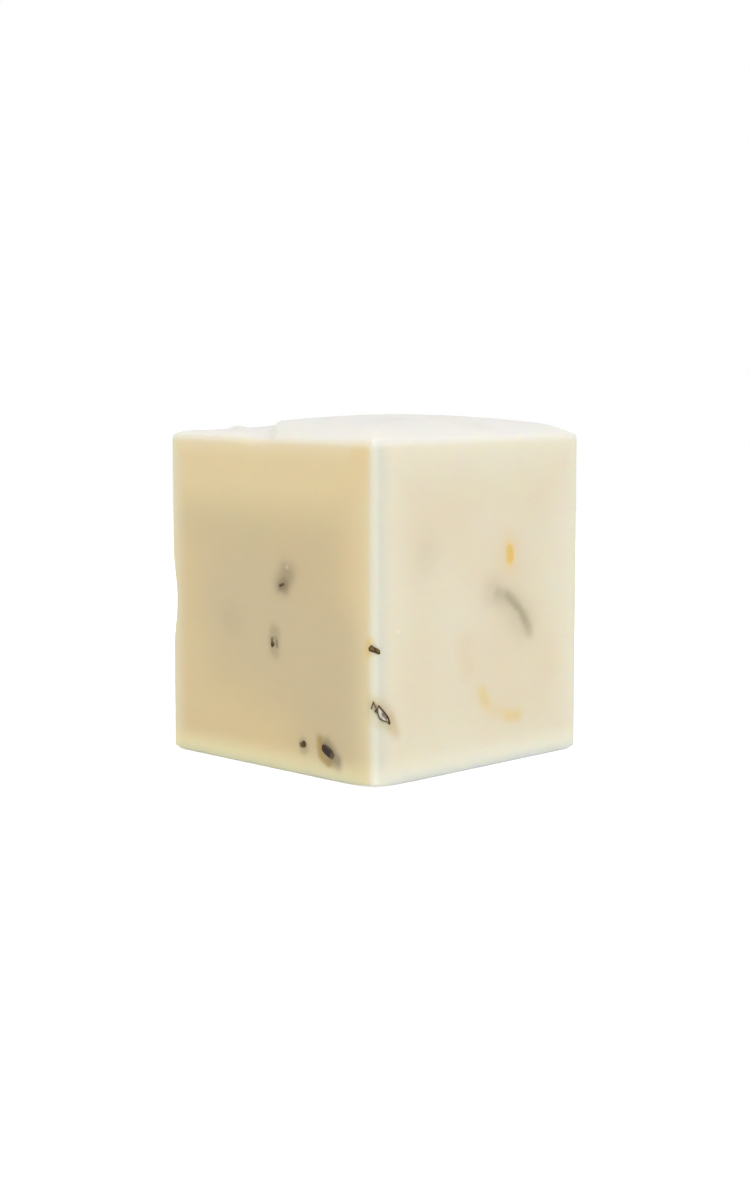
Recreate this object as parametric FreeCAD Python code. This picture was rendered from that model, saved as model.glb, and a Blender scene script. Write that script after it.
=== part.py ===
import FreeCAD, Part

import math
import os

# Square-cut block of soap with dried flowers cast through it, in millimetres.
# The origin is the middle of the base, +Z is up, -Y is the front face and the
# near arris is the upright edge where the front and left faces meet.
# Every piece of plant is a solid of its own, seated in a pocket that has its
# shape, and is trimmed flush where a face of the block cuts through it.

Vector = FreeCAD.Vector

# Block
WIDTH = 50.0
DEPTH = 50.0
SIDE_HEIGHT = 55.1
ARRIS_RADIUS = 1.3
RIM_RADIUS = 0.6
BASE_RADIUS = 0.8

# Poured top: a shallow dome that rolls down to each side over a shoulder
CROWN_RISE = 3.65
SHOULDER_RUN = 13.0
DOME_RADIUS = 260.0

# Scoop: a broad hollow across the top, over the corner of the left and back faces.
# A torn lip stands along its near side.
SCOOP_DEPTH = 2.9
SCOOP_RADIUS = 108.0
SCOOP_FROM_DIAGONAL = 31.6
LIP_FROM_DIAGONAL = 16.9
LIP_HEIGHT = 0.45
LIP_THICKNESS = 0.25
LIP_SLOPE = 4.1

# Worn hollow in the upright edge of the left and back faces
DENT_DEPTH = 0.55
DENT_HALF_LENGTH = 8.0
DENT_HEIGHT = 26.6

# Each form widens from its foot to its middle and narrows to its tip, along a quarter of a cosine
# wave either way. A swell gives the shares of its half width at foot and tip, and where it peaks.

# Dried bud: folded into sharp ribs. A husk is an open one, hollow down to its floor.
BUD_RIBS = 6
BUD_RIB_SHARE = 0.2
BUD_RING_COUNT = 5
BUD_SWELL = (0.3, 0.32, 0.45)
HUSK_SWELL = (0.32, 0.75, 0.6)
HUSK_WALL = 0.2
HUSK_FLOOR_SHARE = 0.15

# Petal: a thin cupped strip. Its section gives shares of its half width.
PETAL_SECTION = ((-1, 0), (-0.4, 0.14), (0.4, 0.14), (1, 0), (0.45, 0.4), (-0.45, 0.4))
PETAL_RING_COUNT = 6
PETAL_SWELL = (0.25, 0.3, 0.5)

# Stem: a square stalk that thins towards its tip
STEM_RING_COUNT = 8
STEM_SWELL = (1.0, 0.3, 0.0)

# Seed: round, and pointed at both ends
SEED_RING_COUNT = 6
SEED_SIDES = 8
SEED_SWELL = (0.2, 0.2, 0.5)

# Flake: a broken scrap of leaf. Its outline gives shares of its length and width.
FLAKE_OUTLINE = ((-0.5, -0.12), (-0.34, 0.5), (0.06, 0.3), (0.5, -0.16), (0.34, -0.5), (-0.28, -0.4))

# Directions
X = Vector(1, 0, 0)
Y = Vector(0, 1, 0)
Z = Vector(0, 0, 1)
DIAGONAL = (X + Y).normalize()

# Two things closer than this meet
TOUCHING = 0.001

ARRIS_SETBACK = ARRIS_RADIUS * (math.sqrt(2) - 1)
CORNER_X = WIDTH / 2
CORNER_Y = DEPTH / 2
CROWN_HEIGHT = SIDE_HEIGHT + CROWN_RISE


class Face:
    """A side of the block as it is seen from outside: along runs right, up runs up."""

    def __init__(self, corner, along, up, length, height):
        self.corner = corner
        self.along = along
        self.up = up
        self.normal = along.cross(up)
        self.length = length
        self.height = height

    def point(self, along, up, depth):
        """A point under the face. A negative distance counts from the far edge."""
        from_corner = along if along >= 0 else self.length + along
        from_foot = up if up >= 0 else self.height + up
        return self.corner + self.along * from_corner + self.up * from_foot - self.normal * depth


FRONT = Face(Vector(-CORNER_X, -CORNER_Y, 0), X, Z, WIDTH, SIDE_HEIGHT)
RIGHT = Face(Vector(CORNER_X, -CORNER_Y, 0), Y, Z, DEPTH, SIDE_HEIGHT)
BACK = Face(Vector(CORNER_X, CORNER_Y, 0), -X, Z, WIDTH, SIDE_HEIGHT)
LEFT = Face(Vector(-CORNER_X, CORNER_Y, 0), -Y, Z, DEPTH, SIDE_HEIGHT)
BASE = Face(Vector(-CORNER_X, CORNER_Y, 0), X, -Y, WIDTH, DEPTH)
TOP = Face(Vector(-CORNER_X, -CORNER_Y, CROWN_HEIGHT), X, Y, WIDTH, DEPTH)
NEAR_ARRIS = Face(
    Vector(-CORNER_X, -CORNER_Y, 0) + DIAGONAL * ARRIS_SETBACK, (X - Y).normalize(), Z, 0, SIDE_HEIGHT
)

# Plants: the form and size of each piece, the face that it lies under, and its place there.
# Along, up and depth lead to its middle. Turn is its heading on the face, anticlockwise from
# along, and dip sinks its far end into the block. Both are in degrees.
PLANTS = {
    "left_bud_high": (
        "bud", dict(length=4.8, radius=0.95),
        LEFT, dict(along=28.9, up=32.6, depth=1.5, turn=63, dip=29),
    ),
    "left_husk_end": (
        "husk", dict(length=5.6, radius=0.9),
        LEFT, dict(along=-23.9, up=21.3, depth=2.2, turn=70, dip=82),
    ),
    "left_seed": (
        "seed", dict(length=1.8, radius=0.62),
        LEFT, dict(along=-16.5, up=5.2, depth=0.35, turn=60, dip=50),
    ),
    "left_bud_low": (
        "bud", dict(length=5.2, radius=0.95),
        LEFT, dict(along=-10.7, up=4.8, depth=0.75, turn=-36, dip=6),
    ),
    "left_petal_low": (
        "petal", dict(length=5.4, width=1.7, bend=28, roll=20),
        LEFT, dict(along=-13.3, up=6.0, depth=2.7, turn=-50, dip=10),
    ),
    "left_bud_deep": (
        "bud", dict(length=5.4, radius=1.0),
        LEFT, dict(along=17.5, up=25.5, depth=5.2, turn=75, dip=15),
    ),
    "arris_flake": (
        "flake", dict(length=2.3, width=1.3, thickness=0.8),
        NEAR_ARRIS, dict(along=-0.1, up=22.5, depth=0.2, turn=-32, dip=0),
    ),
    "arris_petal": (
        "petal", dict(length=4.2, width=1.5, bend=20, roll=0),
        LEFT, dict(along=-2.6, up=22.6, depth=1.3, turn=80, dip=-6),
    ),
    "arris_husk": (
        "husk", dict(length=6.4, radius=0.85),
        FRONT, dict(along=2.2, up=12.0, depth=0.45, turn=-53, dip=-7),
    ),
    "front_petal_chip": (
        "petal", dict(length=4.2, width=1.9, bend=0, roll=0),
        FRONT, dict(along=-17.8, up=35.3, depth=0.75, turn=90, dip=3),
    ),
    "front_curved_stem": (
        "stem", dict(length=12.5, radius=0.55, bend=-47),
        FRONT, dict(along=-15.0, up=25.6, depth=1.6, turn=-46, dip=-9),
    ),
    "front_bud_deep": (
        "bud", dict(length=5.0, radius=1.1),
        FRONT, dict(along=11.7, up=36.7, depth=4.4, turn=35, dip=35),
    ),
    "front_petal_tan": (
        "petal", dict(length=5.6, width=2.2, bend=24, roll=25),
        FRONT, dict(along=21.4, up=18.7, depth=2.6, turn=-78, dip=5),
    ),
    "front_petal_curled": (
        "petal", dict(length=11.8, width=2.2, bend=59, roll=45),
        FRONT, dict(along=-21.5, up=9.0, depth=1.3, turn=-33, dip=0),
    ),
    "front_petal_deep": (
        "petal", dict(length=5.0, width=2.0, bend=30, roll=35),
        FRONT, dict(along=-6.9, up=16.8, depth=3.2, turn=70, dip=10),
    ),
    "top_bud_at_lip": (
        "bud", dict(length=4.6, radius=0.8),
        TOP, dict(along=14.5, up=-14.5, depth=2.4, turn=-45, dip=16),
    ),
    "top_bud_middle": (
        "bud", dict(length=5.4, radius=0.95),
        TOP, dict(along=15.0, up=11.0, depth=1.9, turn=20, dip=3),
    ),
    "top_bud_front": (
        "bud", dict(length=4.4, radius=0.85),
        TOP, dict(along=-22.5, up=4.5, depth=2.75, turn=-10, dip=3),
    ),
    "right_husk_end": (
        "husk", dict(length=5.8, radius=0.95),
        RIGHT, dict(along=18.0, up=-17.0, depth=2.1, turn=-40, dip=68),
    ),
    "right_petal_curled": (
        "petal", dict(length=9.0, width=2.0, bend=50, roll=40),
        RIGHT, dict(along=-15.5, up=-21.0, depth=1.4, turn=25, dip=4),
    ),
    "right_bud_low": (
        "bud", dict(length=5.0, radius=0.95),
        RIGHT, dict(along=21.0, up=14.0, depth=0.8, turn=-15, dip=6),
    ),
    "right_bud_deep": (
        "bud", dict(length=5.2, radius=1.0),
        RIGHT, dict(along=-13.0, up=20.0, depth=4.2, turn=55, dip=20),
    ),
    "back_husk_cut": (
        "husk", dict(length=6.0, radius=0.9),
        BACK, dict(along=17.0, up=31.0, depth=0.35, turn=38, dip=3),
    ),
    "back_petal_chip": (
        "petal", dict(length=4.6, width=1.9, bend=15, roll=0),
        BACK, dict(along=-16.0, up=-18.0, depth=0.8, turn=-65, dip=3),
    ),
    "back_seed": (
        "seed", dict(length=1.8, radius=0.62),
        BACK, dict(along=-19.0, up=11.0, depth=0.4, turn=20, dip=40),
    ),
    "back_stem": (
        "stem", dict(length=9.0, radius=0.5, bend=30),
        BACK, dict(along=15.0, up=13.5, depth=1.8, turn=-20, dip=8),
    ),
    "base_bud": (
        "bud", dict(length=5.0, radius=0.95),
        BASE, dict(along=19.0, up=-18.0, depth=0.7, turn=30, dip=4),
    ),
    "base_petal": (
        "petal", dict(length=6.0, width=2.0, bend=25, roll=15),
        BASE, dict(along=-17.0, up=19.0, depth=1.6, turn=-60, dip=5),
    ),
}


def crown_bar(across, span, along, length):
    """A bar with the block's outline in one direction: upright sides, shoulders and a level top."""
    radius = (SHOULDER_RUN**2 + CROWN_RISE**2) / (2 * CROWN_RISE)
    half_turn = math.asin(SHOULDER_RUN / radius) / 2
    level = span / 2 - SHOULDER_RUN

    def outline_point(run, height):
        return across * run + Z * height

    foot = span / 2, 0
    rim = span / 2, SIDE_HEIGHT
    bend = level + radius * math.sin(half_turn), CROWN_HEIGHT - radius * (1 - math.cos(half_turn))
    shoulder = level, CROWN_HEIGHT
    right = [outline_point(run, height) for run, height in (foot, rim, bend, shoulder)]
    left = [outline_point(-run, height) for run, height in (foot, rim, bend, shoulder)]
    outline = Part.Wire([
        Part.makeLine(left[0], right[0]),
        Part.makeLine(right[0], right[1]),
        Part.Arc(right[1], right[2], right[3]).toShape(),
        Part.makeLine(right[3], left[3]),
        Part.Arc(left[3], left[2], left[1]).toShape(),
        Part.makeLine(left[1], left[0]),
    ])
    bar = Part.Face(outline).extrude(along * length)
    bar.translate(along * (-length / 2))
    return bar


def scoop_tool():
    """The space over the scoop: its bowl, the wall of the lip, and a slope away from the lip."""
    off = (Y - X).normalize()
    floor = CROWN_HEIGHT - SCOOP_DEPTH
    far = WIDTH

    def bowl(distance):
        rise = SCOOP_RADIUS - math.sqrt(SCOOP_RADIUS**2 - (distance - SCOOP_FROM_DIAGONAL) ** 2)
        return off * distance + Z * (floor + rise)

    lip_foot = bowl(LIP_FROM_DIAGONAL)
    lip_top = lip_foot + Z * LIP_HEIGHT - off * LIP_THICKNESS
    slope = Z * math.sin(math.radians(LIP_SLOPE)) - off * math.cos(math.radians(LIP_SLOPE))
    slope_end = lip_top + slope * far
    over = off * far + Z * (CROWN_HEIGHT + far)
    outline = Part.Wire([
        Part.Arc(bowl(far), bowl(SCOOP_FROM_DIAGONAL), lip_foot).toShape(),
        Part.makeLine(lip_foot, lip_top),
        Part.makeLine(lip_top, slope_end),
        Part.makeLine(slope_end, over),
        Part.makeLine(over, bowl(far)),
    ])
    tool = Part.Face(outline).extrude(DIAGONAL * 2 * WIDTH)
    tool.translate(DIAGONAL * -WIDTH)
    return tool


def dent_tool():
    """A round bar across the corner of the left and back faces, which leaves the worn hollow."""
    bar_radius = (DENT_HALF_LENGTH**2 + DENT_DEPTH**2) / (2 * DENT_DEPTH)
    outward = (Y - X).normalize()
    arris = Vector(-CORNER_X, CORNER_Y, DENT_HEIGHT) - outward * ARRIS_SETBACK
    middle = arris + outward * (bar_radius - DENT_DEPTH)
    return Part.makeCylinder(bar_radius, WIDTH / 2, middle - DIAGONAL * WIDTH / 4, DIAGONAL)


def edges_where(shape, test):
    """The shape's edges whose every sampled point passes the test."""
    return [e for e in shape.Edges if all(test(p) for p in e.discretize(5))]


def wall_gap(point):
    """How far a point stands inside the block's rounded outline, seen from above."""
    past_x = max(abs(point.x) - (CORNER_X - ARRIS_RADIUS), 0)
    past_y = max(abs(point.y) - (CORNER_Y - ARRIS_RADIUS), 0)
    return ARRIS_RADIUS - math.hypot(past_x, past_y)


def plain_block():
    """The block before anything is seated in it."""
    post = Part.makeBox(WIDTH, DEPTH, CROWN_HEIGHT, Vector(-CORNER_X, -CORNER_Y, 0))
    upright = [e for e in post.Edges if abs(e.Vertexes[0].Z - e.Vertexes[-1].Z) > SIDE_HEIGHT]
    block = post.makeFillet(ARRIS_RADIUS, upright)
    for crown in (
        crown_bar(X, WIDTH, Y, DEPTH),
        crown_bar(Y, DEPTH, X, WIDTH),
        Part.makeSphere(DOME_RADIUS, Z * (CROWN_HEIGHT - DOME_RADIUS)),
    ):
        block = block.common(crown)
    block = block.cut(scoop_tool())
    rim = edges_where(block, lambda p: p.z > SIDE_HEIGHT / 2 and wall_gap(p) < TOUCHING)
    block = block.makeFillet(RIM_RADIUS, rim)
    foot = edges_where(block, lambda p: p.z < TOUCHING)
    block = block.makeFillet(BASE_RADIUS, foot)
    return block.cut(dent_tool())


def bent(share, length, bend):
    """Place and heading at a share of a spine that turns by bend degrees over its length."""
    run = (share - 0.5) * length
    if not bend:
        return FreeCAD.Placement(X * run, FreeCAD.Rotation())
    radius = length / math.radians(bend)
    turned = run / radius
    place = Vector(radius * math.sin(turned), radius * (1 - math.cos(turned)), 0)
    return FreeCAD.Placement(place, FreeCAD.Rotation(Z, math.degrees(turned)))


def swollen(share, swell):
    """The share of the largest half width at a share of the length."""
    foot, tip, peak = swell
    if share < peak:
        return foot + (1 - foot) * math.sin(math.pi / 2 * share / peak)
    return tip + (1 - tip) * math.cos(math.pi / 2 * (share - peak) / (1 - peak))


def skinned(rings):
    """A solid with flat facets over rings of corners, each ring turned alike, closed at both ends."""
    faces = [polygon(rings[0][::-1]), polygon(rings[-1])]
    for near, far in zip(rings, rings[1:]):
        for k in range(len(near)):
            faces.append(polygon([near[k - 1], near[k], far[k]]))
            faces.append(polygon([near[k - 1], far[k], far[k - 1]]))
    shell = Part.makeShell(faces)
    shell.sewShape()
    return Part.makeSolid(shell).removeSplitter()


def polygon(corners):
    return Part.Face(Part.makePolygon(corners + corners[:1]))


def along_spine(section, swell, ring_count, length, bend=0, start=0.0):
    """A solid over sections drawn across a bent spine. Section gives the corners at a width share."""
    rings = []
    for k in range(ring_count + 1):
        share = start + (1 - start) * k / ring_count
        place = bent(share, length, bend)
        rings.append([place.multVec(corner) for corner in section(swollen(share, swell))])
    return skinned(rings)


def ring(reaches):
    """Corners round the X axis, evenly turned, at the given reaches."""
    step = 2 * math.pi / len(reaches)
    return [Vector(0, r * math.cos(k * step), r * math.sin(k * step)) for k, r in enumerate(reaches)]


def ribbed(radius, swell, length):
    """A ribbed pod along +X, foot first."""

    def section(share):
        return ring([radius * share, radius * share * (1 - BUD_RIB_SHARE)] * BUD_RIBS)

    return along_spine(section, swell, BUD_RING_COUNT, length)


def bud(length, radius):
    return ribbed(radius, BUD_SWELL, length)


def husk(length, radius):
    """An empty husk along +X, with its mouth at the far end."""

    def bore(share):
        return ring([radius * share * (1 - BUD_RIB_SHARE) - HUSK_WALL] * BUD_RIBS)

    hollow = along_spine(bore, HUSK_SWELL, BUD_RING_COUNT, length, start=HUSK_FLOOR_SHARE)
    return ribbed(radius, HUSK_SWELL, length).cut(hollow)


def petal(length, width, bend, roll):
    """A cupped strip along a bent spine. Roll turns its width out of the plane of the bend."""
    rolled = FreeCAD.Rotation(X, roll)

    def section(share):
        half = width * share / 2
        return [rolled.multVec(Vector(0, half * across, half * out)) for across, out in PETAL_SECTION]

    return along_spine(section, PETAL_SWELL, PETAL_RING_COUNT, length, bend)


def stem(length, radius, bend):
    def section(share):
        return ring([radius * share] * 4)

    return along_spine(section, STEM_SWELL, STEM_RING_COUNT, length, bend)


def seed(length, radius):
    def section(share):
        return ring([radius * share] * SEED_SIDES)

    return along_spine(section, SEED_SWELL, SEED_RING_COUNT, length)


def flake(length, width, thickness):
    """A plate with a broken outline, its length along +X and its thickness along Z."""
    corners = [Vector(length * x, width * y, -thickness / 2) for x, y in FLAKE_OUTLINE]
    return polygon(corners).extrude(Z * thickness)


FORMS = {"bud": bud, "husk": husk, "petal": petal, "stem": stem, "seed": seed, "flake": flake}


def seated(shape, face, along, up, depth, turn, dip):
    """Moves a shape drawn along +X to its place under a face, its own Z out of the face."""
    level = face.along * math.cos(math.radians(turn)) + face.up * math.sin(math.radians(turn))
    heading = level * math.cos(math.radians(dip)) - face.normal * math.sin(math.radians(dip))
    out = face.normal * math.cos(math.radians(dip)) + level * math.sin(math.radians(dip))
    rotation = FreeCAD.Rotation(heading, out.cross(heading), out, "ZXY")
    shape.Placement = FreeCAD.Placement(face.point(along, up, depth), rotation)
    return shape


def main():
    block = plain_block()
    parts = {}
    for name, (form, sizes, face, place) in PLANTS.items():
        parts[name] = seated(FORMS[form](**sizes), face, **place).common(block)
    parts["soap_block"] = block.cut(list(parts.values()))
    os.makedirs("parts", exist_ok=True)
    for name, shape in parts.items():
        shape.exportStep(f"parts/{name}.step")


main()
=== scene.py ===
import math

import bmesh
import bpy
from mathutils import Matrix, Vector, geometry, noise


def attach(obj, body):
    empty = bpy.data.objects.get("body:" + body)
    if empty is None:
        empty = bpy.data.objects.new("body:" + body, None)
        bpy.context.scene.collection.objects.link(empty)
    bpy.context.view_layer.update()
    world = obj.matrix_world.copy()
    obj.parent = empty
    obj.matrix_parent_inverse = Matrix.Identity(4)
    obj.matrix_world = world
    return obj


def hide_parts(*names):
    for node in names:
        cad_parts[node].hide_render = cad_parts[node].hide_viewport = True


# Square-cut bar of soap with dried flowers cast through it.
# Lengths of the soap and its plants are in millimetres, and MM brings them to metres.
# The floor, the lamps and the camera are in metres.
MM = 0.001

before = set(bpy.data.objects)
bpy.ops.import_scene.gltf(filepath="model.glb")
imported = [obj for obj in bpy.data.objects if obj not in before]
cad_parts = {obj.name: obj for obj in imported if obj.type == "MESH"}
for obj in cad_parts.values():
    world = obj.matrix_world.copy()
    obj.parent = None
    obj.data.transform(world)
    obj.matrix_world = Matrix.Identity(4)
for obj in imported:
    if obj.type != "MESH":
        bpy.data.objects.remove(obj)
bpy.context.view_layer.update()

# Soap block. It stands a hair inside the frame's 25 mm, so that plants cut by a face show in it.
EDGE = 25
HALF = 24.97
SIDE_HEIGHT = 55.08
TOP_SINK = 0.02

# Radii of its edges. The near arris is rounder than the others, up to a reach along the faces.
ARRIS_TOP = 0.5
ARRIS_FOOT = 0.22
NEAR_ARRIS = 1.15
NEAR_ARRIS_REACH = 12
RIM = 0.75
FOOT = 0.15

# Poured top: a shallow dome that rolls down to each side over a shoulder
CROWN_HEIGHT = 58.72
SHOULDER_RUN = 13.0
SHOULDER_RADIUS = 24.98
DOME_RADIUS = 260.0

# Scoop across the top, placed by distances from the diagonal, with a torn lip along its near side
SCOOP_FLOOR = 55.83
SCOOP_RADIUS = 160.0
SCOOP_OFF = 31.6
LIP_OFF = 16.9
LIP_HEIGHT = 0.78
LIP_SLOPE = 0.0717
LIP_WALL_RUN = 0.5
LIP_RAGGED = 0.35
LIP_RAGGED_RUN = 1.2

# Wear and unevenness. The first three give a place, a height or depth, and how far it spreads.
LUMP = (-12.1, 22.2, 0.7, 1.6)
WORN_RIM = (3.4, 0.7, 2.4, 3.6)
CORNER_LIFTS = ((-25, -25, 0.42, 3.4), (-25, 25, 0.45, 1.3), (25, -25, 0.45, 1.3), (25, 25, 0.45, 1.3))
CORNER_LIFT_HEIGHT = 6
DENT_HEIGHT = 26.6
DENT_HALF_LENGTH = 8.5
DENT_DEPTH = 0.62
DENT_REACH = 6
UNEVEN = 0.02
NICK = 0.07

# How many cuts the soap's mesh has up each side and across each face
CUTS_UP = 79
CUTS_ACROSS = 99

# How far broad marks wander from their lines
WARP = 1.3

# Scraps of dry plant: thickness, and spacing of their points along the outline and inside it
SCRAP_THICKNESS = 0.35
SCRAP_OUTLINE_STEP = 0.1
SCRAP_STEP = 0.11

# Camera, with its lens in millimetres
CAMERA_PLACE = (-0.23939, -0.23940, 0.06608)
CAMERA_AIM = (0.70239, 0.70212, -0.11690)
CAMERA_LENS = 58.37


def srgb(red, green, blue):
    """A colour given as it shows on screen, 0 to 255, as the linear colour that a node takes."""
    shares = [c / 255 for c in (red, green, blue)]
    return tuple(c / 12.92 if c < 0.04045 else ((c + 0.055) / 1.055) ** 2.4 for c in shares) + (1.0,)


def metres(point):
    return Vector(point) * MM


# Places on the faces, each n millimetres out from its face

def on_left(y, z, n=0.0):
    return Vector((-HALF - n, y, z))


def on_front(x, z, n=0.0):
    return Vector((x, -HALF - n, z))


def on_right(y, z, n=0.0):
    return Vector((HALF + n, y, z))


def on_back(x, z, n=0.0):
    return Vector((x, HALF + n, z))


def on_arris(run, z, n=0.0):
    """A place round the near arris. The run goes from its middle towards the front face."""
    centre = NEAR_ARRIS - HALF
    bend = NEAR_ARRIS * math.pi / 4
    if run > bend:
        return on_front(centre + run - bend, z, n)
    if run < -bend:
        return on_left(centre - run - bend, z, n)
    angle = math.radians(225) + run / NEAR_ARRIS
    out = NEAR_ARRIS + n
    return Vector((centre + out * math.cos(angle), centre + out * math.sin(angle), z))


def along(place, *spots):
    """The points of a line drawn on a face."""
    return [place(*spot) for spot in spots]


# Shader helpers

def node(tree, kind, inputs=None, **settings):
    """Adds a node. Each input is linked if it is a socket, and set if it is a value."""
    made = tree.nodes.new(kind)
    for key, value in settings.items():
        setattr(made, key, value)
    for key, value in (inputs or {}).items():
        if isinstance(value, bpy.types.NodeSocket):
            tree.links.new(value, made.inputs[key])
        else:
            made.inputs[key].default_value = value
    return made


def maths(tree, operation, *values, clamp=False):
    inputs = dict(enumerate(values))
    return node(tree, "ShaderNodeMath", inputs, operation=operation, use_clamp=clamp).outputs[0]


def vectors(tree, operation, *values):
    inputs = dict(enumerate(values))
    return node(tree, "ShaderNodeVectorMath", inputs, operation=operation)


def mixed(tree, factor, first, second):
    """A mix of two colours."""
    inputs = {0: factor, 6: first, 7: second}
    return node(tree, "ShaderNodeMix", inputs, data_type="RGBA").outputs[2]


def ranged(tree, value, low, high, to_low=0.0, to_high=1.0, smooth=True):
    kind = "SMOOTHSTEP" if smooth else "LINEAR"
    inputs = {0: value, 1: low, 2: high, 3: to_low, 4: to_high}
    return node(tree, "ShaderNodeMapRange", inputs, interpolation_type=kind).outputs[0]


def fading(tree, reach, near, far, strength=1.0, smooth=True):
    """A share that is strength up to near and 0 from far on, both in millimetres."""
    return ranged(tree, reach, near * MM, far * MM, strength, 0.0, smooth)


def noisy(tree, place, scale, detail=3.0, roughness=0.5, stretch=(1, 1, 1)):
    """Noise of 0 to 1, with its scale in cells per metre."""
    scaled = vectors(tree, "MULTIPLY", place, stretch).outputs[0]
    inputs = {"Vector": scaled, "Scale": scale, "Detail": detail, "Roughness": roughness}
    return node(tree, "ShaderNodeTexNoise", inputs).outputs[0]


def group(name, inputs, output):
    """A node group with the given inputs, name to kind, and one output. Gives its tree and its ends."""
    tree = bpy.data.node_groups.new(name, "ShaderNodeTree")
    for label, kind in inputs.items():
        tree.interface.new_socket(label, in_out="INPUT", socket_type=kind)
    tree.interface.new_socket(output[0], in_out="OUTPUT", socket_type=output[1])
    start = tree.nodes.new("NodeGroupInput")
    end = tree.nodes.new("NodeGroupOutput")
    return tree, start.outputs, end.inputs


def make_line_distance():
    """How far a place is from the straight line between two points."""
    kinds = {"Place": "NodeSocketVector", "Start": "NodeSocketVector", "End": "NodeSocketVector"}
    tree, given, result = group("line distance", kinds, ("Distance", "NodeSocketFloat"))
    reach = vectors(tree, "SUBTRACT", given["Place"], given["Start"]).outputs[0]
    run = vectors(tree, "SUBTRACT", given["End"], given["Start"]).outputs[0]
    travel = vectors(tree, "DOT_PRODUCT", reach, run).outputs[1]
    square = vectors(tree, "DOT_PRODUCT", run, run).outputs[1]
    share = maths(tree, "DIVIDE", travel, square, clamp=True)
    nearest = node(tree, "ShaderNodeVectorMath", {0: run, 3: share}, operation="SCALE").outputs[0]
    apart = vectors(tree, "SUBTRACT", reach, nearest).outputs[0]
    tree.links.new(vectors(tree, "LENGTH", apart).outputs[1], result[0])
    return tree


def make_buried_tint():
    """The colour of soap over something buried in it: full within the radius, then fading away."""
    kinds = {
        "Color": "NodeSocketColor", "Tint": "NodeSocketColor", "Distance": "NodeSocketFloat",
        "Radius": "NodeSocketFloat", "Spread": "NodeSocketFloat", "Strength": "NodeSocketFloat",
    }
    tree, given, result = group("buried tint", kinds, ("Color", "NodeSocketColor"))
    past = maths(tree, "SUBTRACT", given["Distance"], given["Radius"])
    share = maths(tree, "DIVIDE", maths(tree, "MAXIMUM", past, 0.0), given["Spread"])
    fade = maths(tree, "EXPONENT", maths(tree, "MULTIPLY", maths(tree, "MULTIPLY", share, share), -1.0))
    amount = maths(tree, "MULTIPLY", fade, given["Strength"])
    tree.links.new(mixed(tree, amount, given["Color"], given["Tint"]), result[0])
    return tree


LINE_DISTANCE = make_line_distance()
BURIED_TINT = make_buried_tint()


def distance_to(tree, place, points):
    """The distance from a place to the line through points in millimetres, or to a single point."""
    if len(points) == 1:
        return vectors(tree, "DISTANCE", place, metres(points[0])).outputs[1]
    nearest = None
    for start, end in zip(points, points[1:]):
        inputs = {"Place": place, "Start": metres(start), "End": metres(end)}
        far = node(tree, "ShaderNodeGroup", inputs, node_tree=LINE_DISTANCE).outputs[0]
        nearest = far if nearest is None else maths(tree, "MINIMUM", nearest, far)
    return nearest


def tinted(tree, colour, place, tint, points, radius, spread, strength):
    """A colour with the tint of a mark drawn over it. Radius and spread are in millimetres."""
    inputs = {
        "Color": colour, "Tint": tint, "Distance": distance_to(tree, place, points),
        "Radius": radius * MM, "Spread": spread * MM, "Strength": strength,
    }
    return node(tree, "ShaderNodeGroup", inputs, node_tree=BURIED_TINT).outputs[0]


def new_material(name):
    material = bpy.data.materials.new(name)
    material.use_nodes = True
    tree = material.node_tree
    shader = tree.nodes["Principled BSDF"]
    place = tree.nodes.new("ShaderNodeTexCoord").outputs["Object"]
    return material, tree, shader, place


def bumped(tree, shader, height, strength):
    bump = node(tree, "ShaderNodeBump", {"Strength": strength, "Distance": 1.0, "Height": height})
    tree.links.new(bump.outputs[0], shader.inputs["Normal"])


# What shows through the soap: colour, line through it, radius, spread and strength.
# The broad fields come first and the sharp marks last.
HONEY = srgb(232, 215, 170)
FAWN = srgb(211, 196, 160)
TAN = srgb(208, 190, 152)
GREY = srgb(150, 140, 112)
SMOKE = srgb(128, 112, 84)
BROWN = srgb(98, 76, 38)
DARK = srgb(70, 50, 22)
YELLOW = srgb(228, 198, 96)
ORANGE = srgb(240, 184, 104)
OLIVE = srgb(150, 134, 72)
STEM_GREY = srgb(160, 151, 116)
PALE = srgb(242, 236, 210)
PEACH = srgb(226, 206, 172)
STAIN = srgb(180, 154, 84)
STRAW = srgb(206, 196, 146)

# Painted light and shade of the left face: paler along its top and its edges, where light glows through, and
# darker in its middle
LEFT_LIGHT_AND_SHADE_MARKS = [
    (HONEY, along(on_left, (24, 50.5), (-24, 51)), 2.5, 6.0, 0.95),
    (srgb(229, 208, 163), along(on_left, (-21, 44), (-21, 32)), 0.5, 4.5, 0.7),
    (srgb(228, 209, 163), along(on_left, (23, 32), (20, 8), (-3, 4)), 0.5, 8.0, 0.7),
    (FAWN, along(on_left, (7, 27), (-6, 22), (-14, 15), (-18, 7)), 3.0, 8.0, 0.9),
    (srgb(232, 221, 183), along(on_left, (-25, 44), (-25, 3)), 0.4, 4.0, 0.8),
    (srgb(226, 216, 190), along(on_left, (25, 52), (25, 2)), 0.2, 2.2, 0.6),
]

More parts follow.
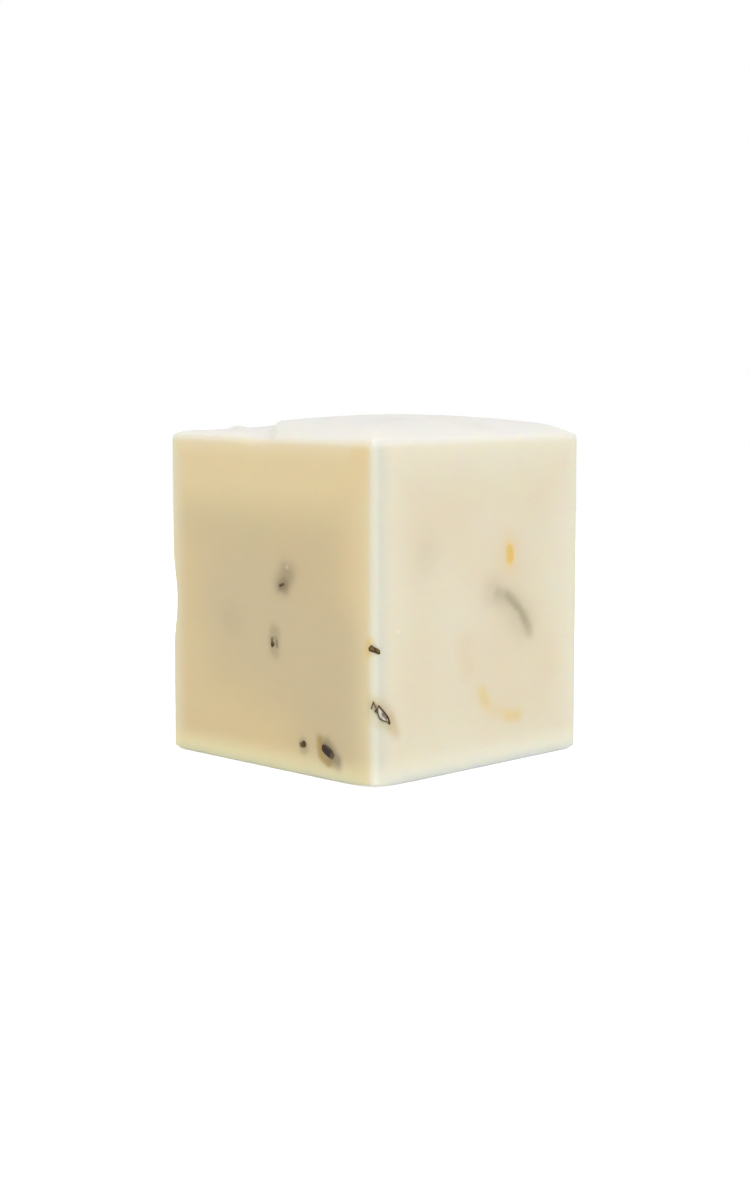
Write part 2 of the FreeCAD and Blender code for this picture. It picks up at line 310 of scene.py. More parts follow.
LEFT_MARKS = [
    (SMOKE, along(on_left, (-3.5, 31.4), (-4.6, 33.0)), 0.4, 1.6, 0.5),
    (SMOKE, along(on_left, (-3.3, 31.1), (-4.0, 31.5)), 0.15, 0.7, 0.5),
    (SMOKE, along(on_left, (-3.5, 30.6), (-4.3, 30.3)), 0.1, 0.8, 0.28),
    (BROWN, along(on_left, (-2.9, 30.95), (-3.75, 31.2)), 0.13, 0.14, 1.0),
    (DARK, along(on_left, (-2.95, 30.95), (-3.25, 31.05)), 0.08, 0.14, 0.8),
    (PALE, along(on_left, (-4.6, 34.1)), 0.12, 0.25, 0.3),
    (SMOKE, along(on_left, (-1.6, 22.8), (-1.35, 20.2)), 0.5, 1.0, 0.3),
    (BROWN, along(on_left, (-0.85, 21.8), (-0.88, 20.75)), 0.15, 0.2, 0.85),
    (BROWN, along(on_left, (-1.98, 21.6), (-2.03, 20.75)), 0.1, 0.22, 0.5),
    (SMOKE, along(on_left, (-1.07, 22.09), (-1.81, 22.09)), 0.08, 0.25, 0.4),
    (SMOKE, along(on_left, (-8.3, 5.3), (-8.5, 4.5)), 0.4, 0.7, 0.3),
    (BROWN, along(on_left, (-7.9, 5.0), (-8.5, 5.05)), 0.26, 0.26, 0.85),
    (TAN, along(on_left, (-8.5, 4.8)), 0.12, 0.2, 0.5),
    (STAIN, along(on_left, (-12.2, 6.4), (-12.3, 5.3), (-12.6, 4.2), (-13.4, 3.4), (-14.5, 2.9)),
     0.2, 0.7, 0.82),
    (SMOKE, along(on_left, (-13.8, 5.6), (-16.2, 3.5)), 0.4, 0.95, 0.62),
    (GREY, along(on_left, (9.57, 24.56)), 0.5, 2.6, 0.1),
]

ARRIS_MARKS = [
    (YELLOW, along(on_arris, (-1.0, 23.3), (-1.3, 22.4), (-1.1, 21.9)), 0.15, 0.7, 0.5),
    (PALE, along(on_arris, (0.75, 22.75)), 0.12, 0.2, 0.6),
    (STRAW, along(on_arris, (-0.3, 14.0), (-0.4, 12.8), (0.9, 11.0), (2.9, 10.2)), 0.5, 0.9, 0.4),
    (srgb(206, 184, 136), along(on_arris, (1.2, 13.3), (3.2, 11.4), (3.7, 9.9), (4.2, 9.1)), 0.3, 1.0, 0.5),
]

FRONT_MARKS = [
    (GREY, along(on_front, (-13.3, 36.7)), 0.5, 3.0, 0.1),
    (PEACH, along(on_front, (-3.9, 21.2), (-3.3, 17.0)), 0.3, 1.8, 0.38),
    (PEACH, along(on_front, (18.1, 17.8), (18.1, 15.6)), 0.3, 2.2, 0.26),
    (YELLOW, along(on_front, (0, 13.1), (1, 11.6), (2, 10.3), (3.8, 9.05), (5.9, 8.1), (8.2, 7.6), (10, 7.6)),
     0.1, 1.1, 0.2),
    (YELLOW, along(on_front, (0.5, 12.5), (1.6, 10.9)), 0.35, 0.8, 0.26),
    (YELLOW, along(on_front, (7.2, 7.8), (9.4, 7.6)), 0.4, 0.8, 0.34),
    (GREY, along(on_front, (3.2, 29.6), (7.6, 27.2), (11.0, 23.8)), 0.5, 2.6, 0.21),
    (STEM_GREY, along(on_front, (4.3, 29.2), (6.6, 28.7), (8.2, 27.6), (9.8, 26.1), (11.4, 24.2),
                      (12.3, 22.2)), 0.2, 1.0, 0.35),
    (STEM_GREY, along(on_front, (6.8, 28.4), (8.3, 27.3), (9.9, 25.8), (11.2, 24.1)), 0.15, 0.6, 0.42),
    (srgb(196, 172, 140), along(on_front, (11.7, 23.5), (12.0, 22.8)), 0.2, 0.5, 0.5),
    (srgb(228, 208, 168), along(on_front, (7.3, 37.2), (7.4, 34.0)), 0.8, 2.2, 0.5),
    (srgb(236, 208, 150), along(on_front, (7.3, 36.9), (7.4, 34.2)), 0.5, 0.7, 0.6),
    (YELLOW, along(on_front, (7.2, 36.3), (7.3, 34.7)), 0.5, 0.4, 0.8),
    (ORANGE, along(on_front, (7.65, 35.7), (7.65, 34.9)), 0.2, 0.35, 0.45),
    (PALE, along(on_front, (-19.7, 24.8)), 0.18, 0.3, 0.6),
]

RIGHT_MARKS = [
    (SMOKE, along(on_right, (-7.0, 38.1), (-5.9, 37.2)), 0.4, 1.6, 0.42),
    (BROWN, along(on_right, (-6.9, 38.6), (-7.1, 37.7)), 0.2, 0.3, 0.8),
    (YELLOW, along(on_right, (5.4, 32.0, -1.4), (7.6, 33.5, -0.3), (9.8, 34.6), (13.4, 34.8, -1.5)),
     0.5, 1.0, 0.5),
    (ORANGE, along(on_right, (7.6, 33.7, -0.6), (10.6, 34.9, -0.3)), 0.4, 0.5, 0.45),
    (SMOKE, along(on_right, (-5.9, 14.6, -0.9), (-4.4, 14.1), (-1.8, 13.3, -1.4)), 0.5, 1.0, 0.6),
    (GREY, along(on_right, (10.6, 18.4, -1.0), (13.2, 21.8, -1.8)), 0.6, 2.6, 0.34),
]

BACK_MARKS = [
    (OLIVE, along(on_back, (10.4, 29.2, -0.8), (8.0, 31.0), (5.6, 32.9, -0.8)), 0.6, 1.2, 0.45),
    (YELLOW, along(on_back, (-10.2, 39.2, -1.2), (-9.3, 37.6), (-8.0, 35.0, -1.3)), 0.8, 0.8, 0.6),
    (ORANGE, along(on_back, (-9.9, 38.0, -0.4), (-8.9, 35.9, -0.9)), 0.5, 0.6, 0.4),
    (SMOKE, along(on_back, (-6.0, 11.0)), 0.6, 0.9, 0.5),
    (STEM_GREY, along(on_back, (14.4, 14.6, -1.5), (11.6, 14.4, -0.3), (9.0, 13.4), (5.8, 11.2, -1.6)),
     0.3, 0.8, 0.6),
]

BASE_MARKS = [
    (SMOKE, [(-7.8, -8.0, 0), (-4.2, -6.0, 0)], 0.8, 1.2, 0.45),
    (YELLOW, [(6.8, 8.2, 0), (9.2, 3.8, 0)], 0.9, 1.3, 0.5),
]

TOP_MARKS = [
    (OLIVE, [(-12.5, -15.0, 57.4), (-7.5, -13.0, 57.6)], 0.5, 1.9, 0.07),
    (OLIVE, [(0.4, -20.0, 56.9), (4.6, -20.9, 56.6)], 0.4, 1.5, 0.06),
    # The last two marks are painted shade along the foot of the torn lip and under its overhang
    (GREY, [(-24.6, -0.9, 55.6), (-12.0, 11.7, 56.8), (0.8, 24.5, 55.8)], 0.35, 0.5, 0.1),
    (SMOKE, [(-13.7, 9.9, 57.3), (-12.9, 10.6, 57.3)], 0.25, 0.4, 0.5),
]

# Each side of the soap, by its outward direction, and the marks that show in it
SIDES = {
    (-1, 0, 0): ("soap_left", LEFT_MARKS + ARRIS_MARKS),
    (0, -1, 0): ("soap_front", ARRIS_MARKS + FRONT_MARKS),
    (1, 0, 0): ("soap_right", RIGHT_MARKS),
    (0, 1, 0): ("soap_back", BACK_MARKS),
    (0, 0, -1): ("soap_base", BASE_MARKS),
    (0, 0, 1): ("soap_top", TOP_MARKS),
}


# Tones of the soap and of its left face, which is painted darker and warmer as painted shade: two that mix, a
# rosy cloud and its share, a greenish cloud
SOAP_TONES = (srgb(232, 225, 203), srgb(230, 219, 192), srgb(232, 218, 191), 0.4, srgb(226, 223, 194))
LEFT_SHADE_TONES = (srgb(213, 197, 158), srgb(210, 192, 152), srgb(217, 193, 155), 0.5, srgb(207, 199, 155))
# Painted light glowing through the thin edges
EDGE_GLOW = srgb(236, 231, 211)
ARRIS_SOAP = srgb(208, 213, 206)
GRAIN = srgb(205, 190, 150)
# Painted light on the rims of the edges
RIM_LIGHT = srgb(233, 231, 211)
# Painted light bounced up from the floor onto the foot, on the other faces and on the left face
FOOT_BOUNCE_LIGHT = srgb(250, 244, 226)
LEFT_FOOT_BOUNCE_LIGHT = srgb(250, 238, 196)
# Painted reflection on the top
TOP_REFLECTION = srgb(237, 235, 231)


def edge_reach(tree, x, y, z):
    """How far in from the nearest edge a place lies: the middle one of its distances from the faces."""
    past_x = maths(tree, "SUBTRACT", HALF * MM, maths(tree, "ABSOLUTE", x))
    past_y = maths(tree, "SUBTRACT", HALF * MM, maths(tree, "ABSOLUTE", y))
    past_z = maths(tree, "MINIMUM", z, maths(tree, "SUBTRACT", SIDE_HEIGHT * MM, z))
    least = maths(tree, "MINIMUM", maths(tree, "MINIMUM", past_x, past_y), past_z)
    most = maths(tree, "MAXIMUM", maths(tree, "MAXIMUM", past_x, past_y), past_z)
    total = maths(tree, "ADD", maths(tree, "ADD", past_x, past_y), past_z)
    return maths(tree, "SUBTRACT", maths(tree, "SUBTRACT", total, least), most)


def near_arris_reach(tree, place):
    """How far a place is from the sharp line of the near arris, seen from above."""
    level = vectors(tree, "MULTIPLY", place, (1, 1, 0)).outputs[0]
    return vectors(tree, "DISTANCE", level, (-HALF * MM, -HALF * MM, 0)).outputs[1]


def cloud_noises(tree, place):
    """The noises that mix the tones of the soap, that make its rosy clouds and its greenish ones."""
    elsewhere = vectors(tree, "ADD", place, (0.3, 0.1, 0.2)).outputs[0]
    broad = noisy(tree, place, 45, detail=2.0)
    rose = noisy(tree, place, 90, detail=2.0, stretch=(1, 1, 0.6))
    green = noisy(tree, elsewhere, 60, detail=2.0)
    return broad, rose, green


def clouded(tree, noises, tones):
    """Soap of two mixed tones with rosy and greenish clouds."""
    broad, rose, green = noises
    first, second, rosy, rosy_share, greenish = tones
    colour = mixed(tree, ranged(tree, broad, 0.3, 0.7), first, second)
    colour = mixed(tree, ranged(tree, rose, 0.45, 0.75, 0.0, rosy_share), colour, rosy)
    return mixed(tree, ranged(tree, green, 0.5, 0.75, 0.0, 0.5), colour, greenish)


def soap_with_edge_glow(tree, noises, edge, from_near):
    """Soap with painted light: paler along its edges, for light that glows through the thin soap there, and
    cooler beside the near arris.
    """
    colour = clouded(tree, noises, SOAP_TONES)
    colour = mixed(tree, fading(tree, edge, 0.0, 12.0, 0.7), colour, EDGE_GLOW)
    return mixed(tree, fading(tree, from_near, 0.6, 4.4, 0.62), colour, ARRIS_SOAP)


# Painted shade: the left face in darker, warmer tones, with its marks of painted light and shade
def left_shaded_soap(tree, place, noises):
    colour = clouded(tree, noises, LEFT_SHADE_TONES)
    for mark in LEFT_LIGHT_AND_SHADE_MARKS:
        colour = tinted(tree, colour, place, *mark)
    return colour


def left_shade_share(tree, x, y):
    """1 on the left face, which is painted darker as painted shade, and which ends just round the near arris.
    """
    on_face = fading(tree, x, -24.7, -23.7)
    past_arris = ranged(tree, maths(tree, "SUBTRACT", y, x), 0.0, 2.4 * MM)
    return maths(tree, "MULTIPLY", on_face, past_arris)


def soap_colour(tree, place, marks):
    x, y, z = node(tree, "ShaderNodeSeparateXYZ", {0: place}).outputs
    edge = edge_reach(tree, x, y, z)
    from_near = near_arris_reach(tree, place)
    noises = cloud_noises(tree, place)
    left_shade = left_shade_share(tree, x, y)
    colour = mixed(tree, left_shade, soap_with_edge_glow(tree, noises, edge, from_near), left_shaded_soap(tree, place, noises))

    # Fine grain, then painted light: paler rims along the edges away from the near arris, a paler foot and a
    # paler top
    grain = noisy(tree, place, 2600, detail=2.0)
    colour = mixed(tree, ranged(tree, grain, 0.3, 0.7, 0.0, 0.05), colour, GRAIN)
    beside = fading(tree, from_near, 2.0, 6.0, 5.0 * MM, smooth=False)
    # Painted light: the rims of the edges are paler where light glows through
    rim_light = fading(tree, maths(tree, "ADD", edge, beside), 0.2, 4.2, 0.4)
    colour = mixed(tree, rim_light, colour, RIM_LIGHT)
    # Painted light: the foot is painted paler for light bounced up from the floor
    foot = mixed(tree, left_shade, FOOT_BOUNCE_LIGHT, LEFT_FOOT_BOUNCE_LIGHT)
    colour = mixed(tree, fading(tree, z, 0.0, 5.4, 0.78), colour, foot)
    # Painted reflection: the top is painted paler for the white room that it reflects
    skin = ranged(tree, z, 53.6 * MM, 55.7 * MM, 0.0, 0.88)
    colour = mixed(tree, skin, colour, TOP_REFLECTION)

    # Broad marks are drawn on places that wander, so that their outlines aren't straight
    cells = node(tree, "ShaderNodeTexNoise", {"Vector": place, "Scale": 300.0, "Detail": 1.0}).outputs[1]
    shift = vectors(tree, "SUBTRACT", cells, (0.5, 0.5, 0.5)).outputs[0]
    uneven = vectors(tree, "MULTIPLY_ADD", shift, (WARP * MM,) * 3, place).outputs[0]
    for mark in marks:
        spread = mark[3]
        colour = tinted(tree, colour, uneven if spread > 0.5 else place, *mark)
    return colour


def soap_material(name, marks):
    """Waxy soap: it scatters light below its surface, and is smeared, pitted and dragged by the cut."""
    material, tree, shader, place = new_material(name)
    tree.links.new(soap_colour(tree, place, marks), shader.inputs["Base Color"])
    smear = noisy(tree, place, 220, detail=3.0)
    tree.links.new(ranged(tree, smear, 0.3, 0.7, 0.38, 0.52), shader.inputs["Roughness"])
    shader.inputs["Subsurface Weight"].default_value = 1.0
    shader.inputs["Subsurface Radius"].default_value = (1.0, 0.72, 0.38)
    shader.inputs["Subsurface Scale"].default_value = 3.5 * MM
    shader.inputs["IOR"].default_value = 1.46
    pits = maths(tree, "MULTIPLY", noisy(tree, place, 900, detail=3.0), 0.03 * MM)
    drag = maths(tree, "MULTIPLY", noisy(tree, place, 160, detail=2.0, stretch=(1, 1, 0.15)), 0.08 * MM)
    bumped(tree, shader, maths(tree, "ADD", pits, drag), 0.5)
    return material


def plant_material(name, dark, light, scale, rough, strokes=()):
    """Dry plant skin: streaked between a dark and a light colour, with strokes of colour drawn on it."""
    material, tree, shader, place = new_material(name)
    streak = noisy(tree, place, scale, detail=4.0, roughness=0.65)
    fine = noisy(tree, place, scale * 5, detail=2.0)
    colour = mixed(tree, ranged(tree, streak, 0.35, 0.7), dark, light)
    colour = mixed(tree, ranged(tree, fine, 0.5, 0.8, 0.0, 0.5), colour, dark)
    for stroke in strokes:
        colour = tinted(tree, colour, place, *stroke)
    tree.links.new(colour, shader.inputs["Base Color"])
    shader.inputs["Roughness"].default_value = rough
    shader.inputs["Specular IOR Level"].default_value = 0.2
    folds = maths(tree, "MULTIPLY", streak, 0.2 * MM)
    grain = maths(tree, "MULTIPLY", fine, 0.1 * MM)
    bumped(tree, shader, maths(tree, "ADD", folds, grain), 0.6)
    return material


# Soap body

def blended_low(heights, softness=0.12):
    """The lowest of the heights, with its creases rounded."""
    return -softness * math.log(sum(math.exp(-h / softness) for h in heights))


def smooth_step(share):
    return share * share * (3 - 2 * share)


def nearest_on(start, end, spot):
    """The place on the straight line between two points that is nearest to a spot."""
    share = geometry.intersect_point_line(spot, start, end)[1]
    return start.lerp(end, min(max(share, 0), 1))


def shoulder(run):
    past = max(abs(run) - (EDGE - SHOULDER_RUN), 0)
    return CROWN_HEIGHT - SHOULDER_RADIUS + math.sqrt(SHOULDER_RADIUS**2 - past**2)


def scoop(x, y):
    """The height of the scoop's bowl, and past its ragged lip of the slope that runs on from it."""
    off = (y - x) / math.sqrt(2)
    run = (x + y) / math.sqrt(2)
    ragged = noise.noise(Vector((run * 0.55, 3.1, 0))) + 0.5 * noise.noise(Vector((run * 1.6, 8.2, 0)))
    lip = LIP_OFF + LIP_RAGGED * ragged
    if off >= lip:
        return SCOOP_FLOOR + (off - SCOOP_OFF) ** 2 / (2 * SCOOP_RADIUS)
    foot = SCOOP_FLOOR + (LIP_OFF - SCOOP_OFF) ** 2 / (2 * SCOOP_RADIUS)
    wall = min((lip - off) / LIP_WALL_RUN, 1) * (1 + 0.3 * ragged * math.exp((off - lip) / LIP_RAGGED_RUN))
    return foot + wall * LIP_HEIGHT + (LIP_OFF - off) * LIP_SLOPE


def crown(x, y):
    """The height of the poured top."""
    lump_x, lump_y, lump_height, lump_spread = LUMP
    lump = lump_height * math.exp(-((x - lump_x) ** 2 + (y - lump_y) ** 2) / lump_spread)
    dome = CROWN_HEIGHT - (x * x + y * y) / (2 * DOME_RADIUS)
    worn_y, worn_depth, worn_in, worn_along = WORN_RIM
    worn = worn_depth * math.exp(-(((x + EDGE) / worn_in) ** 2) - ((y - worn_y) / worn_along) ** 2)
    return blended_low([shoulder(x), shoulder(y), dome, scoop(x, y) + lump]) - worn


def eased(share):
    """Packs an even grid closer together towards both ends of -1 to 1."""
    return 0.65 * math.sin(math.pi / 2 * share) + 0.35 * share


def rounded(a, b, c):
    """A point of the plain cube moved to the block with round edges, and the way that it faces there."""
    x, y, up = HALF * eased(a), HALF * eased(b), (eased(c) + 1) / 2
    top = crown(x, y) - TOP_SINK
    z = up * top
    near = min(math.hypot(x + HALF, y + HALF) / NEAR_ARRIS_REACH, 1)
    arris = ARRIS_FOOT + (ARRIS_TOP - ARRIS_FOOT) * up
    arris += (NEAR_ARRIS - arris) * (1 - smooth_step(near))
    inner = Vector((
        min(max(x, arris - HALF), HALF - arris),
        min(max(y, arris - HALF), HALF - arris),
        min(max(z, FOOT), top - RIM),
    ))
    reach = Vector((arris, arris, FOOT if z < inner.z else RIM))
    past = Vector(((x - inner.x) / arris, (y - inner.y) / arris, (z - inner.z) / reach.z))
    if past.length > 0:
        past.normalize()
    return inner + past * reach, past


def uneven_depth(point, past):
    """How deep the uneven faces and the nicks of the edges are at a point."""
    wave = 0.5 + 0.5 * noise.noise(point * 0.06 + Vector((5, 2, 9)))
    sharp = min(abs(past.x), abs(past.y)) + min(max(abs(past.x), abs(past.y)), abs(past.z))
    nick = max(noise.noise(point * 0.7), 0) * min(sharp, 1)
    return UNEVEN + UNEVEN * wave + NICK * nick


def corner_lift(point):
    """How far a bottom corner stands off the ground at a point."""
    lifted = 0
    for corner_x, corner_y, lift, spread in CORNER_LIFTS:
        far = math.hypot(point.x - corner_x, point.y - corner_y) / spread
        if point.z < CORNER_LIFT_HEIGHT and far < 3:
            lifted += lift * (1 - point.z / CORNER_LIFT_HEIGHT) ** 2 * math.exp(-far * far)
    return lifted


def dent_depth(point):
    """How deep the worn hollow in the far left edge is at a point."""
    far = math.hypot(point.x + EDGE, point.y - EDGE)
    level = (point.z - DENT_HEIGHT) / DENT_HALF_LENGTH
    if far >= DENT_REACH or abs(level) >= 1:
        return 0
    return DENT_DEPTH * (1 - level * level) ** 2 * (1 - far / DENT_REACH) ** 2


# Where the soap dips because a plant piece lies in its surface: line, depth and reach
BEDS = [
    (on_arris(-0.6, 22.8), on_arris(0.8, 22.0), 0.2, 0.7),
    (on_arris(-0.2, 13.6), on_arris(0.3, 13.1), 0.2, 0.6),
    (on_arris(0.7, 12.4), on_arris(2.9, 10.9), 0.3, 0.9),
    (on_left(-13.3, 5.3), on_left(-15.0, 4.3), 0.2, 0.7),
]


def soap_point(a, b, c):
    """Where a point of the plain cube goes on the soap: a, b and c run from -1 to 1."""
    point, past = rounded(a, b, c)
    outward = Vector((past.x, past.y, 0))
    point -= outward * uneven_depth(point, past)
    point.z += corner_lift(point)
    point += Vector((1, -1, 0)).normalized() * dent_depth(point)
    for start, end, depth, reach in BEDS:
        far = (point - nearest_on(start, end, point)).length / reach
        if far < 3:
            point -= outward * depth * math.exp(-far * far)
    return metres(point)


def soap_body():
    bpy.ops.object.select_all(action="DESELECT")
    bpy.ops.mesh.primitive_cube_add(size=2)
    body = bpy.context.object
    body.name = "soap_body"
    bpy.ops.object.mode_set(mode="EDIT")
    bpy.ops.mesh.select_mode(type="EDGE")
    for level, cuts in (("upright", CUTS_UP), ("flat", CUTS_ACROSS)):
        bpy.ops.mesh.select_all(action="DESELECT")
        bpy.ops.object.mode_set(mode="OBJECT")
        for edge in body.data.edges:
            low, high = (body.data.vertices[v].co for v in edge.vertices)
            edge.select = (abs(low.z - high.z) > 0.001) == (level == "upright")
        bpy.ops.object.mode_set(mode="EDIT")
        bpy.ops.mesh.subdivide(number_cuts=cuts)
    bpy.ops.object.mode_set(mode="OBJECT")
    for name, marks in SIDES.values():
        body.data.materials.append(soap_material(name, marks))
    for face in body.data.polygons:
        face.material_index = list(SIDES).index(tuple(round(part) for part in face.normal))
    for vertex in body.data.vertices:
        vertex.co = soap_point(*vertex.co)
    bpy.ops.object.shade_smooth()
    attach(body, "root")
    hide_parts("soap_block")


# Plants

def edge_distance(spot, ring):
    """How far a flat place is from the outline."""
    sides = zip(ring, ring[1:] + ring[:1])
    return min((spot - nearest_on(start, end, spot)).length for start, end in sides)


def scrap_spots(outline):
    """Points for a flat scrap: evenly along its outline, then in staggered rows over the outline's box."""
    ring = []
    for start, end in zip(outline, outline[1:] + outline[:1]):
        run = Vector(end) - Vector(start)
        cuts = max(round(run.length / SCRAP_OUTLINE_STEP), 1)
        ring += [Vector(start) + run * (cut / cuts) for cut in range(cuts)]
    low_x, low_y = (min(spot[i] for spot in ring) for i in (0, 1))
    high_x, high_y = (max(spot[i] for spot in ring) for i in (0, 1))
    rows = []
    for column in range(int((high_x - low_x) / SCRAP_STEP) + 1):
        for row in range(int((high_y - low_y) / SCRAP_STEP) + 1):
            shift = 0.5 * (row % 2)
            spot = Vector((low_x + (column + shift) * SCRAP_STEP, low_y + row * SCRAP_STEP))
            if edge_distance(spot, ring) > 0.05:
                rows.append(spot)
    return ring, rows


def scrap_height(spot, ring, seed, hollow):
    """The height of the scrap's skin: a standing rim round a hollow, crumpled middle."""
    inside = min(edge_distance(spot, ring) / 0.3, 1)
    coarse = noise.noise(Vector((spot.x * 2.3, spot.y * 2.3, seed)))
    fine = noise.noise(Vector((spot.x * 6, spot.y * 6, seed)))
    return min(0.02 - hollow * smooth_step(inside) + 0.07 * inside * (coarse + 0.4 * fine), 0.028)


def scrap_shape(mesh, outline, place, seed, hollow):
    """Adds one dry scrap to the mesh: a curled sheet of even thickness."""
    ring, rows = scrap_spots(outline)
    found = geometry.delaunay_2d_cdt(ring + rows, [], [list(range(len(ring)))], 1, 1e-6)
    flat, faces = found[0], found[2]
    skin = [(spot.x, spot.y, scrap_height(spot, ring, seed, hollow)) for spot in flat]
    upper = [mesh.verts.new(metres(place(u, v, height))) for u, v, height in skin]
    lower = [mesh.verts.new(metres(place(u, v, height - SCRAP_THICKNESS))) for u, v, height in skin]
    sides = {}
    for face in faces:
        mesh.faces.new([upper[i] for i in face])
        mesh.faces.new([lower[i] for i in reversed(face)])
        for pair in zip(face, face[1:] + face[:1]):
            sides[pair] = True
    for first, second in sides:
        if (second, first) not in sides:
            mesh.faces.new([upper[second], upper[first], lower[first], lower[second]])


def scrap(name, outlines, place, skin, node_name, seed, hollow):
    """A piece of one or more scraps that stands for a node of the frame."""
    mesh = bmesh.new()
    for number, outline in enumerate(outlines):
        scrap_shape(mesh, outline, place, seed + number, hollow)
    loose = [vertex for vertex in mesh.verts if not vertex.link_faces]
    bmesh.ops.delete(mesh, geom=loose, context="VERTS")
    bmesh.ops.recalc_face_normals(mesh, faces=mesh.faces)
    data = bpy.data.meshes.new(name)
    mesh.to_mesh(data)
    mesh.free()
    made = bpy.data.objects.new(name, data)
    bpy.context.scene.collection.objects.link(made)
    data.materials.append(skin)
    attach(made, "root")
    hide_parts(node_name)


# Outlines and skins of the scraps. An outline gives places on the arris or the face that it lies in.
FLAKE = [
    (-0.587, 23.15), (-0.30, 22.92), (0.40, 22.68), (0.947, 22.3), (1.03, 21.75),
    (0.776, 21.62), (-0.11, 21.98), (-1.057, 22.2), (-1.1, 22.67),
]
FLAKE_SKIN = plant_material("dried_flake", srgb(78, 56, 24), srgb(112, 88, 56), 1600, 0.7, [
    (srgb(86, 66, 18), along(on_arris, (-0.55, 23.0), (-0.25, 22.8)), 0.1, 0.2, 0.8),
    (srgb(70, 46, 16), along(on_arris, (-1.0, 22.4), (-0.1, 22.1), (0.7, 21.75)), 0.12, 0.15, 0.9),
    (srgb(128, 102, 74), along(on_arris, (-0.6, 22.6), (-0.3, 22.55)), 0.12, 0.15, 0.9),
    (srgb(112, 100, 64), along(on_arris, (0.35, 22.45), (0.75, 22.15)), 0.1, 0.2, 0.7),
    (srgb(60, 40, 18), along(on_arris, (0.0, 22.7), (0.2, 22.2)), 0.06, 0.12, 0.7),
])

HUSK_HEAD = [
    (-0.22, 14.2), (0.0, 13.8), (0.28, 13.25), (0.17, 13.0), (0.02, 13.3), (-0.16, 13.7),
    (-0.38, 13.2), (-0.5, 12.85), (-0.62, 12.95), (-0.45, 13.6),
]
HUSK = [
    (-0.03, 12.6), (0.28, 12.25), (0.53, 12.12), (0.66, 11.87), (0.84, 11.45), (1.19, 11.11), (1.76, 10.8),
    (2.32, 10.64), (2.82, 10.5), (3.2, 10.05), (3.31, 10.3), (3.18, 10.75), (3.02, 11.2), (2.6, 11.75),
    (2.05, 12.28), (1.48, 12.82), (1.0, 13.25), (0.72, 13.5), (0.62, 13.05), (0.3, 12.98),
]
HUSK_SKIN = plant_material("dried_husk_lining", srgb(186, 172, 152), srgb(206, 194, 178), 1500, 0.7, [
    # The first two strokes are painted glints, white highlights on the lining
    (srgb(232, 226, 220), along(on_arris, (1.0, 12.7), (1.15, 12.3), (1.25, 11.75)), 0.1, 0.15, 0.8),
    (srgb(232, 226, 220), along(on_arris, (1.9, 11.25), (2.15, 11.05)), 0.12, 0.15, 0.8),
    (srgb(100, 90, 74), along(on_arris, (1.7, 12.0), (2.5, 11.2)), 0.14, 0.14, 0.85),
    (srgb(74, 56, 28), along(on_arris, (0.72, 13.45), (1.48, 12.75), (2.05, 12.2), (2.6, 11.65), (2.98, 11.1),
                             (3.2, 10.4)), 0.12, 0.1, 1.0),
    (srgb(78, 68, 30), along(on_arris, (0.6, 12.0), (0.84, 11.5), (1.19, 11.17), (1.76, 10.87), (2.3, 10.72),
                             (3.2, 10.2)), 0.08, 0.08, 1.0),
    (srgb(74, 58, 34), along(on_arris, (0.1, 12.6), (0.42, 12.85), (0.5, 12.4)), 0.14, 0.12, 0.95),
    (srgb(84, 72, 40), along(on_arris, (-0.25, 14.1), (-0.5, 13.5), (-0.56, 12.9)), 0.12, 0.12, 0.95),
    (srgb(96, 82, 48), along(on_arris, (-0.2, 14.1), (0.1, 13.5), (0.25, 13.1)), 0.1, 0.12, 0.9),
])

LOW_BUD = [
    (-12.97, 5.71), (-13.42, 5.72), (-14.1, 5.5), (-14.79, 5.15), (-15.24, 4.57), (-15.49, 4.11),
    (-15.23, 3.56), (-14.8, 3.66), (-14.34, 3.81), (-13.42, 4.26), (-12.87, 4.75), (-12.8, 5.2),
]
LOW_BUD_SKIN = plant_material("dried_bud_cut", srgb(64, 52, 42), srgb(96, 84, 70), 1700, 0.75, [
    # The first stroke, the bluish-grey middle, is a painted sheen on the dark cut
    (srgb(54, 50, 52), along(on_left, (-13.6, 5.1), (-14.5, 4.5)), 0.3, 0.3, 0.8),
    (srgb(84, 44, 22), along(on_left, (-12.95, 5.5), (-13.0, 4.95)), 0.12, 0.2, 0.9),
    (srgb(118, 104, 78), along(on_left, (-15.3, 4.2), (-15.2, 3.7)), 0.15, 0.35, 0.7),
    (srgb(104, 84, 60), along(on_left, (-13.5, 5.62), (-14.7, 5.1)), 0.05, 0.12, 0.7),
])

# Skins of the frame's own plant pieces, by the form that their name gives
SKINS = {
    "bud": plant_material("dried_bud", srgb(50, 38, 26), srgb(92, 74, 48), 1800, 0.7),
    "husk": plant_material("dried_husk", srgb(60, 44, 22), srgb(122, 102, 72), 1500, 0.7),
    "petal": plant_material("dried_petal", srgb(212, 162, 54), srgb(234, 200, 104), 900, 0.6),
    "stem": plant_material("dried_stem", srgb(96, 90, 58), srgb(140, 132, 94), 1200, 0.75),
    "seed": plant_material("dried_seed", srgb(58, 42, 18), srgb(108, 88, 46), 2200, 0.6),
    "flake": plant_material("dried_leaf", srgb(70, 46, 18), srgb(118, 94, 62), 1600, 0.7),
}


def dress_plants():
    for name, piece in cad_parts.items():
        for form, skin in SKINS.items():
            if form in name:
                piece.data.materials.clear()
                piece.data.materials.append(skin)


# Floor, light and camera

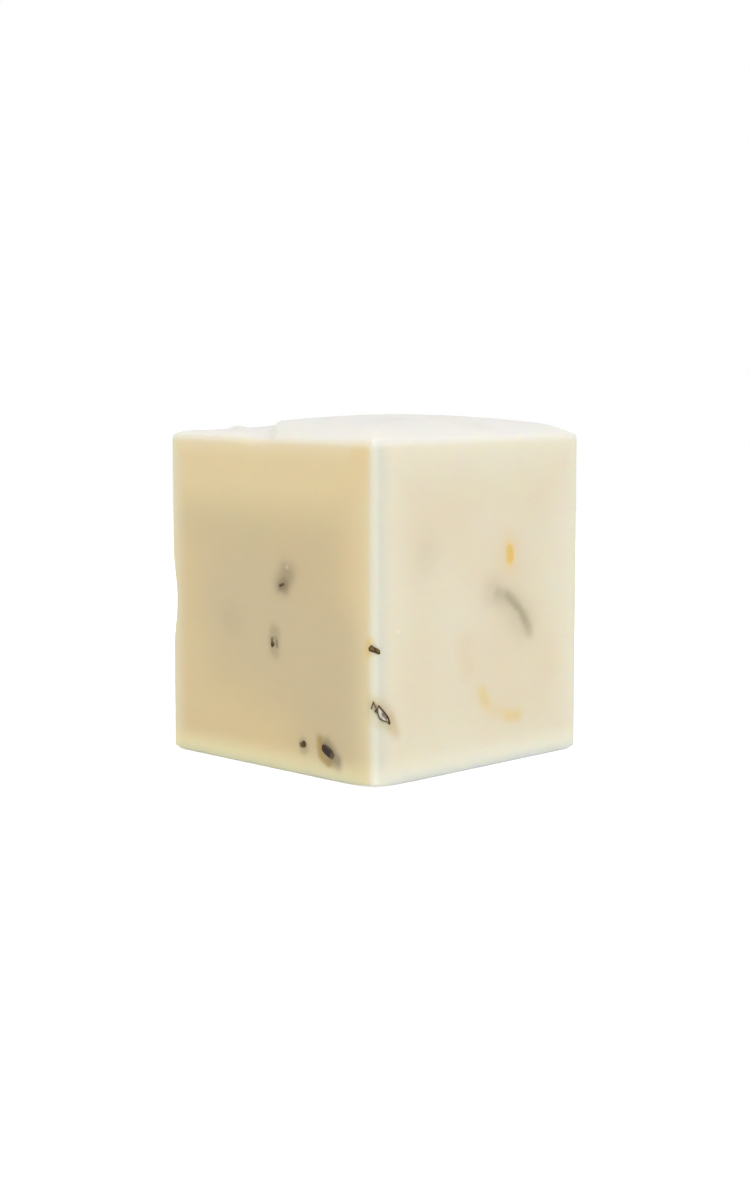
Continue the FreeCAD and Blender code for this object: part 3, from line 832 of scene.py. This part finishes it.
def stand():
    bpy.ops.object.select_all(action="DESELECT")
    bpy.ops.mesh.primitive_circle_add(vertices=96, radius=0.6, fill_type="NGON", location=(0, 0, -0.0001))
    floor = bpy.context.object
    floor.name = "floor"
    bpy.ops.object.transform_apply(location=True, rotation=True, scale=True)
    material, tree, shader, place = new_material("white paper floor")
    shader.inputs["Base Color"].default_value = (0.9, 0.9, 0.9, 1)
    shader.inputs["Roughness"].default_value = 0.9
    seen = tree.nodes.new("ShaderNodeLightPath").outputs["Is Camera Ray"]
    shader.inputs["Emission Color"].default_value = (1, 1, 1, 1)
    tree.links.new(maths(tree, "MULTIPLY", seen, 0.7), shader.inputs["Emission Strength"])
    floor.data.materials.append(material)


def sky():
    world = bpy.data.worlds.new("white room")
    bpy.context.scene.world = world
    world.use_nodes = True
    tree = world.node_tree
    tree.nodes.clear()
    path = tree.nodes.new("ShaderNodeLightPath").outputs
    seen = maths(tree, "MAXIMUM", path["Is Camera Ray"], path["Is Glossy Ray"])
    seen = maths(tree, "MAXIMUM", seen, path["Is Transmission Ray"])
    plain = node(tree, "ShaderNodeBackground", {"Color": (1, 1, 1, 1), "Strength": 0.35})
    white = node(tree, "ShaderNodeBackground", {"Color": (1, 1, 1, 1), "Strength": 1.0})
    both = node(tree, "ShaderNodeMixShader", {0: seen, 1: plain.outputs[0], 2: white.outputs[0]})
    out = tree.nodes.new("ShaderNodeOutputWorld")
    tree.links.new(both.outputs[0], out.inputs[0])


def lamp(name, place, aim, size, power, colour=(1, 1, 1)):
    data = bpy.data.lights.new(name, "AREA")
    data.size = size
    data.energy = power
    data.color = colour
    made = bpy.data.objects.new(name, data)
    made.location = place
    made.rotation_euler = (Vector(aim) - Vector(place)).to_track_quat("-Z", "Y").to_euler()
    bpy.context.scene.collection.objects.link(made)


def camera():
    data = bpy.data.cameras.new("camera")
    data.sensor_width = 36
    data.lens = CAMERA_LENS
    made = bpy.data.objects.new("camera", data)
    made.location = CAMERA_PLACE
    made.rotation_euler = Vector(CAMERA_AIM).to_track_quat("-Z", "Y").to_euler()
    bpy.context.scene.collection.objects.link(made)
    bpy.context.scene.camera = made


soap_body()
scrap("arris_flake_scrap", [FLAKE], on_arris, FLAKE_SKIN, "arris_flake", 2.5, hollow=0.08)
scrap("arris_husk_scrap", [HUSK, HUSK_HEAD], on_arris, HUSK_SKIN, "arris_husk", 7.5, hollow=0.16)
scrap("left_bud_low_scrap", [LOW_BUD], on_left, LOW_BUD_SKIN, "left_bud_low", 4.5, hollow=0.06)
dress_plants()
stand()
sky()
lamp("key", (-0.15, -0.85, 0.35), (0, 0, 0.02), 0.6, 3.8)
lamp("top", (0.1, 0.1, 0.9), (0, 0, 0.05), 0.7, 3.1)
lamp("fill", (-0.85, 0.15, 0.22), (0, 0, 0.02), 0.6, 2.5, (1.0, 0.95, 0.85))
camera()
bpy.context.scene.view_settings.view_transform = "Standard"
